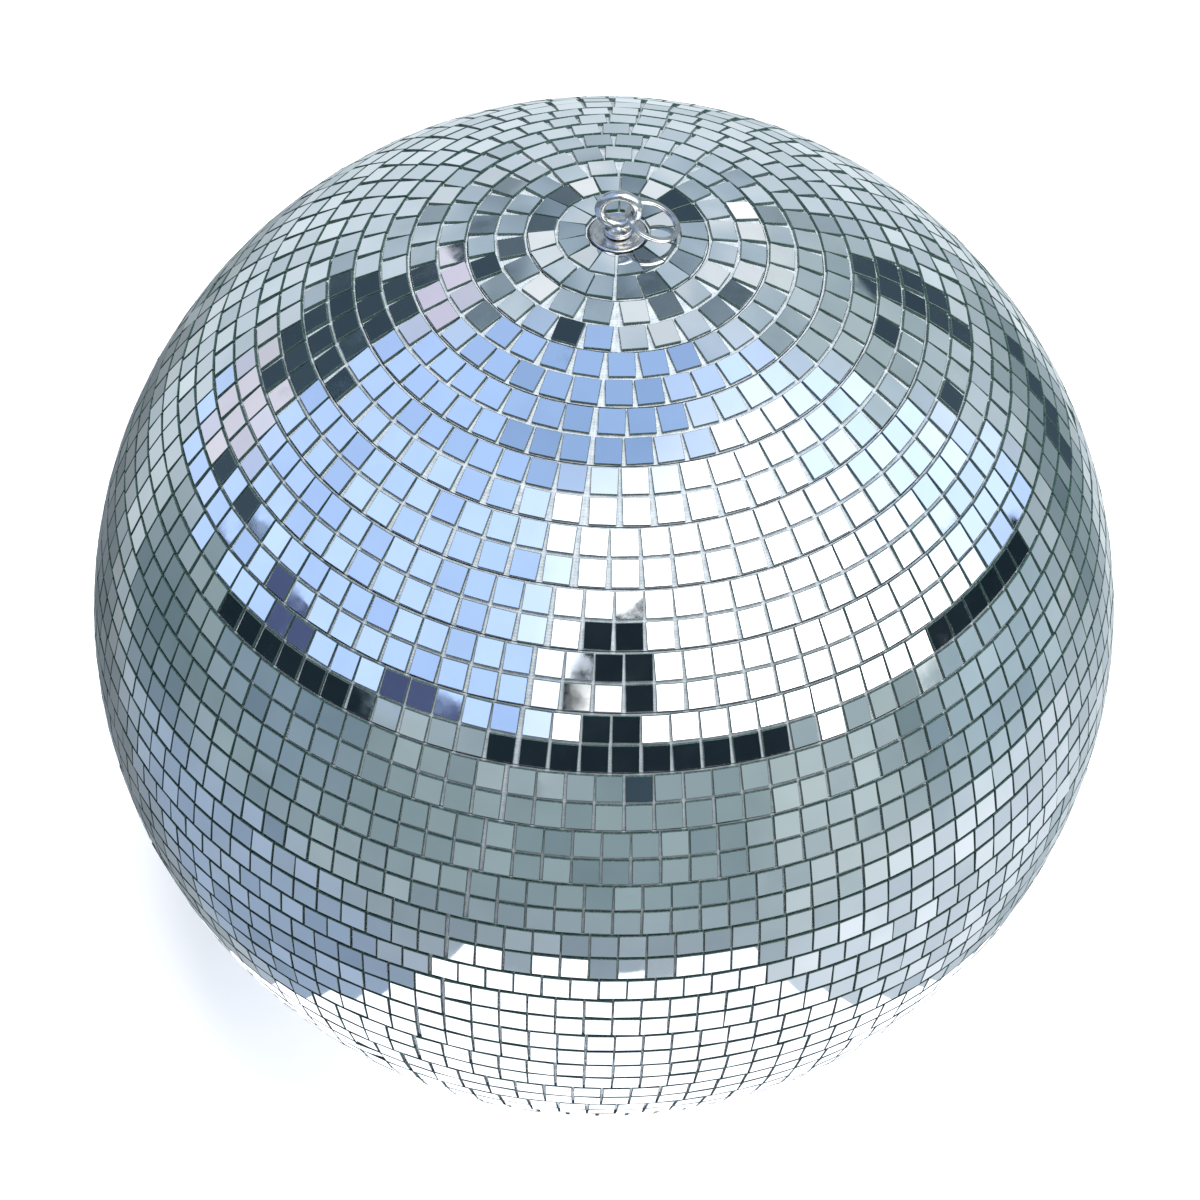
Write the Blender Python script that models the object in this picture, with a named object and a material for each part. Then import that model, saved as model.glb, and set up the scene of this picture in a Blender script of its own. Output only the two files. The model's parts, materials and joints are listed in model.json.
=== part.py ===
"""Mirror ball, 400 mm across: a hollow core covered with strips of mirror tiles, turning under a swivel eye.

Units are metres and +Z is up. The origin is the top of the hole in the eye, where a hook carries the ball.
Lengths below are written in millimetres and turned into metres by mm().
"""

import math

import bmesh
import bpy
from mathutils import Matrix

# Driving dimensions, in millimetres and degrees
BALL_RADIUS = 200.0
ROWS_POLE_TO_POLE = 55
STRIP_THICKNESS = 2.2
FIT_GAP = 0.3
CORE_WALL = 2.5
STRIP_EDGE_GAP = 0.4
SPHERE_SEGMENTS = 32
SMALL_SEGMENTS = 24

EYE_HOLE_RADIUS = 5.0
EYE_WIRE_RADIUS = 2.0
EYE_CENTRE_ABOVE_BALL_CENTRE = 210.0
EYE_WIRE_SIDES = 12
EYE_SEGMENTS = 32
SHANK_RADIUS = 3.0
SHANK_RUNNING_GAP = 0.1
COLLAR_RADIUS = 5.5
COLLAR_BOTTOM = 199.6
COLLAR_TOP = 201.8
COLLAR_EDGE = 0.4
COLLAR_CROWN = 0.1
SHANK_BOTTOM = 168.5
SHANK_CHAMFER = 0.6

ROSETTE_RADIUS = 10.8
ROSETTE_BOTTOM = 197.5
ROSETTE_TOP = 199.1
ROSETTE_BEVEL = 0.6

HUB_RADIUS = 38.0
HUB_BOTTOM = 186.0
BUSH_RADIUS = 5.0
BUSH_FLANGE_RADIUS = 8.5
BUSH_FLANGE_THICKNESS = 1.5
PLATE_RADIUS = 34.0
PLATE_THICKNESS = 2.5
SCREW_CIRCLE_RADIUS = 22.0
SCREW_COUNT = 4
SCREW_RADIUS = 1.9
SCREW_HEAD_RADIUS = 3.8
SCREW_HEAD_HEIGHT = 2.6
SCREW_HEAD_RIM = 1.43
SCREW_HEAD_CROWN = 0.9
SCREW_SEGMENTS = 12
SCREW_TIP_TAPER = 0.6
SCREW_TIP_LENGTH = 1.8
SCREW_TOP = 191.0
SCREW_RECESS_LENGTH = 4.4
SCREW_RECESS_WIDTH = 0.9
SCREW_RECESS_DEPTH = 1.3

THRUST_WASHER_RADIUS = 8.0
THRUST_WASHER_THICKNESS = 1.2
STEEL_WASHER_RADIUS = 7.0
STEEL_WASHER_THICKNESS = 1.6
NUT_ACROSS_FLATS = 10.0
NUT_HEX_HEIGHT = 5.0
NUT_COLLAR_RADIUS = 4.8
NUT_COLLAR_HEIGHT = 2.4
WASHER_GAP = 0.3
NUT_COLLAR_CHAMFER = 0.5
CUT_OVERRUN = 1.0

RING_INNER_RADIUS = 9.0
RING_WIDTH = 2.0
RING_HEIGHT = 2.4
RING_BEVEL = 0.5
RING_CENTRE_OFFSET = 13.6
RING_REST_TILT = 21.0
RING_SEGMENTS = 32

BAND_HALF_HEIGHT = 12.0
BAND_THICKNESS = 2.5
BAND_EDGE_RADIUS = 193.9
BAND_MIDDLE_RADIUS = 194.6
SEAM_HALF_GAP = 0.15
POLE_MIRROR_RADIUS = 10.8

# Worked out from the driving dimensions
ROW_STEP = math.radians(180.0 / ROWS_POLE_TO_POLE)
STRIP_INNER_RADIUS = BALL_RADIUS - STRIP_THICKNESS
CORE_RADIUS = STRIP_INNER_RADIUS - FIT_GAP
CORE_INNER_RADIUS = CORE_RADIUS - CORE_WALL
EQUATOR_ROW = ROWS_POLE_TO_POLE // 2
EYE_MEAN_RADIUS = EYE_HOLE_RADIUS + EYE_WIRE_RADIUS
BALL_CENTRE_Z = -(EYE_CENTRE_ABOVE_BALL_CENTRE + EYE_HOLE_RADIUS)
BORE_RADIUS = (SHANK_RADIUS + SHANK_RUNNING_GAP) / math.cos(math.pi / SMALL_SEGMENTS)
CLEARANCE_BORE_RADIUS = BUSH_RADIUS + FIT_GAP
FIXED_BORE_RADIUS = SHANK_RADIUS + FIT_GAP
PLATE_TOP = HUB_BOTTOM - FIT_GAP
PLATE_BOTTOM = PLATE_TOP - PLATE_THICKNESS
BUSH_FLANGE_TOP = PLATE_BOTTOM - FIT_GAP
BUSH_FLANGE_BOTTOM = BUSH_FLANGE_TOP - BUSH_FLANGE_THICKNESS
THRUST_WASHER_TOP = BUSH_FLANGE_BOTTOM - WASHER_GAP
THRUST_WASHER_BOTTOM = THRUST_WASHER_TOP - THRUST_WASHER_THICKNESS
STEEL_WASHER_TOP = THRUST_WASHER_BOTTOM - WASHER_GAP
STEEL_WASHER_BOTTOM = STEEL_WASHER_TOP - STEEL_WASHER_THICKNESS
NUT_TOP = STEEL_WASHER_BOTTOM - WASHER_GAP
NUT_HEX_BOTTOM = NUT_TOP - NUT_HEX_HEIGHT
NUT_BOTTOM = NUT_HEX_BOTTOM - NUT_COLLAR_HEIGHT


def mm(value):
    return value / 1000.0


def clear_scene():
    for obj in list(bpy.data.objects):
        bpy.data.objects.remove(obj)


def make_material(name, colour, roughness, metallic):
    made = bpy.data.materials.new(name)
    made.use_nodes = True
    shader = made.node_tree.nodes["Principled BSDF"]
    shader.inputs["Base Color"].default_value = (*colour, 1.0)
    shader.inputs["Roughness"].default_value = roughness
    shader.inputs["Metallic"].default_value = metallic
    return made


def make_empty(name, height, parent=None):
    """An empty on the Z axis, at a height above the ball's centre."""
    empty = bpy.data.objects.new(name, None)
    bpy.context.collection.objects.link(empty)
    empty.parent = parent
    empty.location.z = mm(height) if parent else mm(BALL_CENTRE_Z + height)
    return empty


def place(name, shape, finish, parent):
    """Turns a bmesh into a named object under its parent."""
    mesh = bpy.data.meshes.new(name)
    bmesh.ops.recalc_face_normals(shape, faces=shape.faces)
    shape.to_mesh(mesh)
    shape.free()
    mesh.materials.append(finish)
    mesh.shade_smooth()
    mesh.set_sharp_from_angle(angle=math.radians(30.0))
    obj = bpy.data.objects.new(name, mesh)
    bpy.context.collection.objects.link(obj)
    obj.parent = parent
    return obj


def turn(outline, segments):
    """Spins an outline of (radius, height) points round Z. One that ends on the axis is left open there."""
    shape = bmesh.new()
    points = [shape.verts.new((mm(radius), 0.0, mm(height))) for radius, height in outline]
    for first, second in zip(points, points[1:]):
        shape.edges.new((first, second))
    on_axis = outline[0][0] == 0.0 and outline[-1][0] == 0.0
    if not on_axis:
        shape.edges.new((points[-1], points[0]))
    bmesh.ops.spin(
        shape,
        geom=shape.verts[:] + shape.edges[:],
        cent=(0.0, 0.0, 0.0),
        axis=(0.0, 0.0, 1.0),
        angle=2.0 * math.pi,
        steps=segments,
        use_merge=True,
    )
    bmesh.ops.remove_doubles(shape, verts=shape.verts, dist=1e-6)
    return shape


def hide_cutter(obj):
    obj.hide_render = True
    obj.display_type = "WIRE"


def add_boolean(obj, other, operation):
    hide_cutter(other)
    modifier = obj.modifiers.new(operation.title(), "BOOLEAN")
    modifier.operation = operation
    modifier.object = other


def on_sphere(radius, colatitude):
    """(radius from the axis, height) of a point on a sphere, by its angle from the top pole."""
    return radius * math.sin(colatitude), radius * math.cos(colatitude)


def round_edge_box(inner, outer, bottom, top, bevel):
    """Outline of a ring of rectangular section with bevelled corners."""
    return [
        (inner + bevel, top),
        (outer - bevel, top),
        (outer, top - bevel),
        (outer, bottom + bevel),
        (outer - bevel, bottom),
        (inner + bevel, bottom),
        (inner, bottom + bevel),
        (inner, top - bevel),
    ]


def flat_ring(inner, outer, bottom, top):
    return [(inner, top), (outer, top), (outer, bottom), (inner, bottom)]


def strip_rows():
    """(first row, last row) of each strip: pairs from the top pole, one row at the equator, pairs again."""
    upper = [(row, row + 1) for row in range(1, EQUATOR_ROW, 2)]
    lower = [(row, row + 1) for row in range(EQUATOR_ROW + 1, ROWS_POLE_TO_POLE - 1, 2)]
    return upper + [(EQUATOR_ROW, EQUATOR_ROW)] + lower


def make_tile_strips(finish, ball):
    trim = mm(STRIP_EDGE_GAP / 2.0) / mm(BALL_RADIUS)
    for number, (first, last) in enumerate(strip_rows(), start=1):
        start = first * ROW_STEP + trim
        end = (last + 1) * ROW_STEP - trim
        bends = [last * ROW_STEP] if last > first else []
        outline = [on_sphere(BALL_RADIUS, angle) for angle in [start, *bends, end]]
        outline += [on_sphere(STRIP_INNER_RADIUS, angle) for angle in [end, start]]
        place(f"tile_strip_{number:02d}", turn(outline, SPHERE_SEGMENTS), finish, ball)


def shell_angles():
    """Colatitudes where the upper shell's facets meet: the strips' edges, then the seam."""
    edges = [row * ROW_STEP for row in range(1, EQUATOR_ROW + 1, 2)]
    return [*edges, math.pi / 2.0]


def make_shells(finish, ball):
    outer = [on_sphere(CORE_RADIUS, angle) for angle in shell_angles()]
    inner = [on_sphere(CORE_INNER_RADIUS, angle) for angle in shell_angles()]
    outer[-1] = (CORE_RADIUS, SEAM_HALF_GAP)
    inner[-1] = (CORE_INNER_RADIUS, SEAM_HALF_GAP)
    hole_outer = (CLEARANCE_BORE_RADIUS, outer[0][1])
    hole_inner = (CLEARANCE_BORE_RADIUS, inner[0][1])
    upper = [hole_outer, *outer, *reversed(inner), hole_inner]
    place("upper_core_shell", turn(upper, SPHERE_SEGMENTS), finish, ball)
    closed = [(0.0, outer[0][1]), *outer, *reversed(inner), (0.0, inner[0][1])]
    lower = [(radius, -height) for radius, height in closed]
    place("lower_core_shell", turn(lower, SPHERE_SEGMENTS), finish, ball)


def make_joining_band(finish, ball):
    outline = [
        (BAND_EDGE_RADIUS, BAND_HALF_HEIGHT),
        (BAND_MIDDLE_RADIUS, 0.0),
        (BAND_EDGE_RADIUS, -BAND_HALF_HEIGHT),
        (BAND_EDGE_RADIUS - BAND_THICKNESS, -BAND_HALF_HEIGHT),
        (BAND_EDGE_RADIUS - BAND_THICKNESS, BAND_HALF_HEIGHT),
    ]
    place("joining_band", turn(outline, SPHERE_SEGMENTS), finish, ball)


def make_pole_mirror(finish, ball):
    top = -(CORE_RADIUS * math.cos(ROW_STEP) + FIT_GAP)
    outline = [
        (0.0, top),
        (POLE_MIRROR_RADIUS, top),
        (POLE_MIRROR_RADIUS, -BALL_RADIUS),
        (0.0, -BALL_RADIUS),
    ]
    place("pole_mirror", turn(outline, SPHERE_SEGMENTS), finish, ball)


def screw_positions():
    for index in range(SCREW_COUNT):
        angle = 2.0 * math.pi * (index + 0.5) / SCREW_COUNT
        yield SCREW_CIRCLE_RADIUS * math.cos(angle), SCREW_CIRCLE_RADIUS * math.sin(angle)


def make_screw_hole_cutter(name, radius, bottom, top, ball):
    """One cutter object with a cylinder for each screw."""
    shape = bmesh.new()
    for x, y in screw_positions():
        centre = (mm(x), mm(y), mm((bottom + top) / 2.0))
        bmesh.ops.create_cone(
            shape,
            cap_ends=True,
            segments=SCREW_SEGMENTS,
            radius1=mm(radius),
            radius2=mm(radius),
            depth=mm(top - bottom),
            matrix=Matrix.Translation(centre),
        )
    return place(name, shape, bpy.data.materials["zinc_steel"], ball)


def hub_outline():
    """A block whose top follows the inside of the upper shell."""
    step_radius, step_height = on_sphere(CORE_INNER_RADIUS, ROW_STEP)
    bend_radius, bend_height = on_sphere(CORE_INNER_RADIUS, 3.0 * ROW_STEP)
    next_radius, next_height = on_sphere(CORE_INNER_RADIUS, 5.0 * ROW_STEP)
    slope = (next_height - bend_height) / (next_radius - bend_radius)
    rim_height = bend_height + slope * (HUB_RADIUS - bend_radius)
    return [
        (CLEARANCE_BORE_RADIUS, step_height - FIT_GAP),
        (step_radius, step_height - FIT_GAP),
        (bend_radius, bend_height - FIT_GAP),
        (HUB_RADIUS, rim_height - FIT_GAP),
        (HUB_RADIUS, HUB_BOTTOM),
        (CLEARANCE_BORE_RADIUS, HUB_BOTTOM),
    ]


def make_hub(finish, ball):
    hub = place("hanger_hub", turn(hub_outline(), SPHERE_SEGMENTS), finish, ball)
    pilots = make_screw_hole_cutter(
        "hub_pilot_cutter", SCREW_RADIUS + FIT_GAP, HUB_BOTTOM - CUT_OVERRUN, SCREW_TOP + FIT_GAP, ball
    )
    add_boolean(hub, pilots, "DIFFERENCE")


def make_reinforcement_plate(finish, ball):
    outline = flat_ring(CLEARANCE_BORE_RADIUS, PLATE_RADIUS, PLATE_BOTTOM, PLATE_TOP)
    plate = place("reinforcement_plate", turn(outline, SPHERE_SEGMENTS), finish, ball)
    bottom, top = PLATE_BOTTOM - CUT_OVERRUN, PLATE_TOP + CUT_OVERRUN
    holes = make_screw_hole_cutter("plate_hole_cutter", SCREW_RADIUS + FIT_GAP, bottom, top, ball)
    add_boolean(plate, holes, "DIFFERENCE")


def make_screw_shape():
    """A pan-head screw standing on its head, its head's upper face at height 0."""
    tip = SCREW_TOP - PLATE_BOTTOM + FIT_GAP
    outline = [
        (0.0, tip),
        (SCREW_RADIUS - SCREW_TIP_TAPER, tip),
        (SCREW_RADIUS, tip - SCREW_TIP_LENGTH),
        (SCREW_RADIUS, 0.0),
        (SCREW_HEAD_RADIUS, 0.0),
        (SCREW_HEAD_RADIUS, -SCREW_HEAD_RIM),
        (SCREW_HEAD_RADIUS - SCREW_HEAD_CROWN, -SCREW_HEAD_HEIGHT),
        (0.0, -SCREW_HEAD_HEIGHT),
    ]
    return turn(outline, SCREW_SEGMENTS)


def make_recess_cutter_shape():
    """A cross of two bars, as one solid, that cuts the driver recess in a screw head."""
    long, short = SCREW_RECESS_LENGTH / 2.0, SCREW_RECESS_WIDTH / 2.0
    quarter = [(long, -short), (long, short), (short, short)]
    shape = bmesh.new()
    corners = []
    for turns in range(4):
        turned = Matrix.Rotation(turns * math.pi / 2.0, 3, "Z")
        for x, y in quarter:
            corner = shape.verts.new((mm(x), mm(y), mm(-SCREW_HEAD_HEIGHT - CUT_OVERRUN)))
            corner.co = turned @ corner.co
            corners.append(corner)
    floor = shape.faces.new(corners)
    raised = bmesh.ops.extrude_face_region(shape, geom=[floor])["geom"]
    lifted = [item for item in raised if isinstance(item, bmesh.types.BMVert)]
    bmesh.ops.translate(shape, vec=(0.0, 0.0, mm(SCREW_RECESS_DEPTH + CUT_OVERRUN)), verts=lifted)
    return shape


def make_plate_screws(finish, ball):
    for number, (x, y) in enumerate(screw_positions(), start=1):
        spot = (mm(x), mm(y), mm(PLATE_BOTTOM - FIT_GAP))
        screw = place(f"plate_screw_{number}", make_screw_shape(), finish, ball)
        screw.location = spot
        recess = place(f"screw_recess_cutter_{number}", make_recess_cutter_shape(), finish, ball)
        recess.location = spot
        add_boolean(screw, recess, "DIFFERENCE")


def make_flanged_bush(finish, ball):
    outline = [
        (BORE_RADIUS, ROSETTE_BOTTOM - FIT_GAP),
        (BUSH_RADIUS, ROSETTE_BOTTOM - FIT_GAP),
        (BUSH_RADIUS, BUSH_FLANGE_TOP),
        (BUSH_FLANGE_RADIUS, BUSH_FLANGE_TOP),
        (BUSH_FLANGE_RADIUS, BUSH_FLANGE_BOTTOM),
        (BORE_RADIUS, BUSH_FLANGE_BOTTOM),
    ]
    place("flanged_bush", turn(outline, SMALL_SEGMENTS), finish, ball)


def make_rosette(finish, ball):
    outline = [
        (BORE_RADIUS, ROSETTE_TOP),
        (ROSETTE_RADIUS - ROSETTE_BEVEL, ROSETTE_TOP),
        (ROSETTE_RADIUS, ROSETTE_TOP - ROSETTE_BEVEL),
        (ROSETTE_RADIUS, ROSETTE_BOTTOM),
        (BORE_RADIUS, ROSETTE_BOTTOM),
    ]
    place("hanger_rosette", turn(outline, SMALL_SEGMENTS), finish, ball)


def make_thrust_washer(finish, ball):
    outline = flat_ring(BORE_RADIUS, THRUST_WASHER_RADIUS, THRUST_WASHER_BOTTOM, THRUST_WASHER_TOP)
    place("thrust_washer", turn(outline, SMALL_SEGMENTS), finish, ball)


def make_eye_loop(hanger):
    """The closed loop of the eye, turned round Y at the eye's centre."""
    outline = []
    for index in range(EYE_WIRE_SIDES):
        angle = 2.0 * math.pi * index / EYE_WIRE_SIDES
        distance = EYE_MEAN_RADIUS + EYE_WIRE_RADIUS * math.cos(angle)
        outline.append((distance, EYE_WIRE_RADIUS * math.sin(angle)))
    shape = turn(outline, EYE_SEGMENTS)
    lift = Matrix.Translation((0.0, 0.0, mm(EYE_CENTRE_ABOVE_BALL_CENTRE)))
    bmesh.ops.transform(shape, matrix=lift @ Matrix.Rotation(math.pi / 2.0, 4, "X"), verts=shape.verts)
    return place("eye_loop_union", shape, bpy.data.materials["nickel_steel"], hanger)


def make_swivel_eye(finish, hanger):
    """The eye, its collar and its shank, which the ball turns on."""
    neck_top = EYE_CENTRE_ABOVE_BALL_CENTRE - EYE_MEAN_RADIUS
    outline = [
        (0.0, neck_top),
        (SHANK_RADIUS, neck_top - COLLAR_EDGE),
        (COLLAR_RADIUS - COLLAR_EDGE, COLLAR_TOP - COLLAR_CROWN),
        (COLLAR_RADIUS, COLLAR_TOP - COLLAR_CROWN - COLLAR_EDGE),
        (COLLAR_RADIUS, COLLAR_BOTTOM),
        (SHANK_RADIUS, COLLAR_BOTTOM),
        (SHANK_RADIUS, SHANK_BOTTOM + SHANK_CHAMFER),
        (SHANK_RADIUS - SHANK_CHAMFER, SHANK_BOTTOM),
        (0.0, SHANK_BOTTOM),
    ]
    eye = place("swivel_eye", turn(outline, SMALL_SEGMENTS), finish, hanger)
    add_boolean(eye, make_eye_loop(hanger), "UNION")


def make_steel_washer(finish, hanger):
    outline = flat_ring(FIXED_BORE_RADIUS, STEEL_WASHER_RADIUS, STEEL_WASHER_BOTTOM, STEEL_WASHER_TOP)
    place("steel_washer", turn(outline, SMALL_SEGMENTS), finish, hanger)


def make_lock_nut(finish, hanger):
    """A hexagon with a round collar under it, bored through."""
    corner = NUT_ACROSS_FLATS / 2.0 / math.cos(math.pi / 6.0)
    hexagon = [(0.0, NUT_TOP), (corner, NUT_TOP), (corner, NUT_HEX_BOTTOM), (0.0, NUT_HEX_BOTTOM)]
    nut = place("lock_nut", turn(hexagon, 6), finish, hanger)
    collar = [
        (0.0, NUT_HEX_BOTTOM + CUT_OVERRUN),
        (NUT_COLLAR_RADIUS, NUT_HEX_BOTTOM + CUT_OVERRUN),
        (NUT_COLLAR_RADIUS, NUT_BOTTOM + NUT_COLLAR_CHAMFER),
        (NUT_COLLAR_RADIUS - NUT_COLLAR_CHAMFER, NUT_BOTTOM),
        (0.0, NUT_BOTTOM),
    ]
    add_boolean(nut, place("nut_collar_union", turn(collar, SMALL_SEGMENTS), finish, hanger), "UNION")
    bore = [
        (0.0, NUT_TOP + CUT_OVERRUN),
        (FIXED_BORE_RADIUS, NUT_TOP + CUT_OVERRUN),
        (FIXED_BORE_RADIUS, NUT_BOTTOM - CUT_OVERRUN),
        (0.0, NUT_BOTTOM - CUT_OVERRUN),
    ]
    add_boolean(nut, place("nut_bore_cutter", turn(bore, SMALL_SEGMENTS), finish, hanger), "DIFFERENCE")


def make_split_ring(finish, ring):
    """The ring through the eye. It lies beside the eye at rest, its far side just clear of the tiles."""
    outer = RING_INNER_RADIUS + RING_WIDTH
    half = RING_HEIGHT / 2.0
    shape = turn(round_edge_box(RING_INNER_RADIUS, outer, -half, half, RING_BEVEL), RING_SEGMENTS)
    bmesh.ops.translate(shape, vec=(mm(RING_CENTRE_OFFSET), 0.0, 0.0), verts=shape.verts)
    place("split_ring", shape, finish, ring)


def main():
    clear_scene()
    mirror = make_material("mirror_glass", (0.86, 0.89, 0.91), 0.04, 1.0)
    nickel = make_material("nickel_steel", (0.62, 0.60, 0.57), 0.22, 1.0)
    zinc = make_material("zinc_steel", (0.55, 0.57, 0.60), 0.38, 1.0)
    core = make_material("core_plastic", (0.16, 0.17, 0.18), 0.55, 0.0)
    brass = make_material("brass", (0.71, 0.54, 0.27), 0.30, 1.0)
    nylon = make_material("nylon", (0.83, 0.82, 0.76), 0.50, 0.0)

    hanger = make_empty("hanger", 0.0)
    ball = make_empty("ball_spin_axis", 0.0)
    ring = make_empty("ring_fold_axis", EYE_CENTRE_ABOVE_BALL_CENTRE)
    ring.rotation_euler.y = math.radians(RING_REST_TILT)

    make_tile_strips(mirror, ball)
    make_pole_mirror(mirror, ball)
    make_shells(core, ball)
    make_joining_band(core, ball)
    make_hub(core, ball)
    make_reinforcement_plate(zinc, ball)
    make_plate_screws(zinc, ball)
    make_flanged_bush(brass, ball)
    make_rosette(nickel, ball)
    make_thrust_washer(nylon, ball)

    make_swivel_eye(nickel, hanger)
    make_steel_washer(zinc, hanger)
    make_lock_nut(zinc, hanger)
    make_split_ring(nickel, ring)


main()
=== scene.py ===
"""The looks of a 400 mm mirror ball: glass tiles on backing strips, its hanger, and a small studio.

Lengths are in millimetres and turned into metres by mm(), except in the studio, where they are in metres.
The ball's centre and the places of the hanger's pieces come from the frame.
"""

import json
import math
import random

import bmesh
import bpy
import numpy as np
from mathutils import Matrix, Vector


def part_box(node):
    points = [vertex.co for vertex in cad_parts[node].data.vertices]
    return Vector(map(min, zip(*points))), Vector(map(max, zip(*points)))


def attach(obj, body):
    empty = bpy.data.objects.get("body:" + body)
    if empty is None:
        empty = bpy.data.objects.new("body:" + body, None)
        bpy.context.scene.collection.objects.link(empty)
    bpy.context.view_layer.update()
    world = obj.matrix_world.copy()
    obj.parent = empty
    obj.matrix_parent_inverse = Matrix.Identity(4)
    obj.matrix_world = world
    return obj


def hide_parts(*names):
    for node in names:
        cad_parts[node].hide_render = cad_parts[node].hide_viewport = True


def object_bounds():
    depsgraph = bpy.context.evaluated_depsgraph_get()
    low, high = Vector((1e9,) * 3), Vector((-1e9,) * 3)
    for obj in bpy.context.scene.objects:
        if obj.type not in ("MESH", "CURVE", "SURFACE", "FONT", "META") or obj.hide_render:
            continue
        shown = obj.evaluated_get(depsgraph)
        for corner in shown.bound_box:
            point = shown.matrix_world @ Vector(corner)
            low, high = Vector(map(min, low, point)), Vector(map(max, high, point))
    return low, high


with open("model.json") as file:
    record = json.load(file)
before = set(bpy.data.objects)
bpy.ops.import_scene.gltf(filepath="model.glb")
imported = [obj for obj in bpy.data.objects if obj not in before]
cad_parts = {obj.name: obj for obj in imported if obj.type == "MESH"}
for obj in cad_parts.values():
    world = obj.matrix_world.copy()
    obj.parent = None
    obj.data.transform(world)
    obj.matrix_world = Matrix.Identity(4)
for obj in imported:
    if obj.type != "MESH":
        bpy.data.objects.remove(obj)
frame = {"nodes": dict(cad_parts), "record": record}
CAD_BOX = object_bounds()

FULL_TURN = 2.0 * math.pi

# The ball's layout, the same as the frame's strips
ROWS_POLE_TO_POLE = 55
EQUATOR_ROW = ROWS_POLE_TO_POLE // 2
ROW_STEP = math.pi / ROWS_POLE_TO_POLE
TOP_STRIP = 1
EQUATOR_STRIP = 14
BOTTOM_STRIP = 27

# One mirror tile and the way it is laid. The errors of laying are the most a tile is off, either way.
TILE_SIZE = 10.0
TILE_THICKNESS = 1.5
TILE_ARRIS = 0.16
TILE_FACE_RADIUS = 199.45
COLUMN_GAP = 0.6
CUT_ROWS = 3
LOOSE_ROWS = 9
LAYING_TILT = math.radians(1.1)
POLAR_LAYING_TILT = math.radians(3.4)
STRAY_TILT = math.radians(3.8)
STRAY_SHARE = 0.03
LAYING_TURN = math.radians(0.9)
LAYING_SHIFT = 0.15

# A strip's two ends meet at a slightly wider joint, and each joint is a little to the left of the last
FIRST_JOINT = math.radians(-88.0)
JOINT_STEP = math.radians(-1.3)
JOINT_WANDER = math.radians(1.6)
JOINT_EXTRA = 0.9

# The backing between the tiles
BACKING_TOP_RADIUS = 198.1
BACKING_THICKNESS = 0.25
BACKING_SEGMENTS = 160
STRIP_EDGE_GAP = 0.4
WEAVE_SPACING = 1.2

# The hanger
EYE_WIRE_RADIUS = 2.0
SHANK_RADIUS = 3.0
COLLAR_RADIUS = 5.5
COLLAR_BOTTOM, COLLAR_TOP = 199.6, 201.8
COLLAR_TOP_ROUNDING, COLLAR_BOTTOM_ROUNDING = 0.5, 0.4
SHANK_CHAMFER = 0.6
# The weld between collar and loop, as radii and heights above the loop's lowest point
EYE_WELD = ((0.0, 0.4), (1.6, 0.3), (2.4, -0.2), (2.9, -0.75))
EYE_SEGMENTS, WIRE_SEGMENTS, SHANK_SEGMENTS = 72, 24, 48
# The dished top of the rosette, as distances in from the rim and down from the top
ROSETTE_DISH = ((3.6, 0.5), (2.2, 0.7))
# Its underside, as distances in from the rim and up from the bottom
ROSETTE_UNDERSIDE = ((1.6, 0.1), (2.6, 0.0))
ROSETTE_BORE_GAP = 0.2
ROSETTE_LAND = 1.2
ROSETTE_ROLL = 0.7
ROSETTE_EDGE = 0.05
ROUND_SEGMENTS = 96
POLE_MIRROR_THICKNESS = 1.9
POLE_MIRROR_BEVEL = 0.9
POLE_MIRROR_TONE = 0.7
# How far its rim lies from the middle of the tile pattern, where the silver would end at 0.5
POLE_MIRROR_REACH = 0.47
RING_INNER_RADIUS, RING_OUTER_RADIUS = 9.05, 10.95
RING_WIRE_HEIGHT = 0.76
RING_PITCH = 0.8
RING_TURNS = 2
RING_ROUNDING = 0.14
RING_SEGMENTS = 72

# The camera
CAMERA_ELEVATION = math.radians(45.7)
CAMERA_ROLL = math.radians(2.15)
CAMERA_LENS = 200.0
SENSOR_WIDTH = 36.0
BALL_SHARE_OF_PICTURE = 0.851667
CAMERA_SHIFT = (-0.003333, 0.005)
FARTHEST_SEEN = 200.0

# The studio, in metres and watts
CARD_DISTANCE = 4.0
LAMP_DISTANCE = 3.7
CARD_STEPS = 24
KEY_DISTANCE = 2.6
KEY_SIZE = 1.6
KEY_POWER = 110.0
FLOOR_SIZE = 60.0
FLOOR_DROP = 0.001
PLINTH_SIZE = (0.35, 0.76)
PLINTH_PLACE = (0.01, -0.05)
PLINTH_DROP = 0.002
ROOM_BRIGHTNESS = 1.15
WORLD_ON_MATT_SURFACES = 0.2

# A wave texture of scale 1 repeats after this distance
WAVE_PERIOD = math.pi / 10.0
GLASS_IOR = 1.52

# A Mix node's colour sockets share their names with others, so they go by number
FACTOR, FIRST, SECOND, MIXED = 0, 6, 7, 2
RGBA = {"data_type": "RGBA"}
TINT = {**RGBA, "blend_type": "MULTIPLY", FACTOR: 1.0}
SOFTLY = {"interpolation_type": "SMOOTHSTEP"}


def mm(value):
    return value / 1000.0


def in_mm(length):
    return length * 1000.0


def ball_centre():
    low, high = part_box(f"tile_strip_{EQUATOR_STRIP:02d}")
    return (low + high) / 2.0


CENTRE = ball_centre()


# Shapes ----------------------------------------------------------------------------------------------


def deselect():
    for obj in bpy.context.selected_objects:
        obj.select_set(False)


def start_editing(obj):
    deselect()
    obj.select_set(True)
    bpy.context.view_layer.objects.active = obj
    bpy.ops.object.mode_set(mode="EDIT")


def stop_editing():
    bpy.ops.object.mode_set(mode="OBJECT")


def settle(obj):
    """Moves an object's place into its mesh, so that the object sits at the origin."""
    obj.data.transform(obj.matrix_world)
    obj.matrix_world = Matrix.Identity(4)


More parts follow.
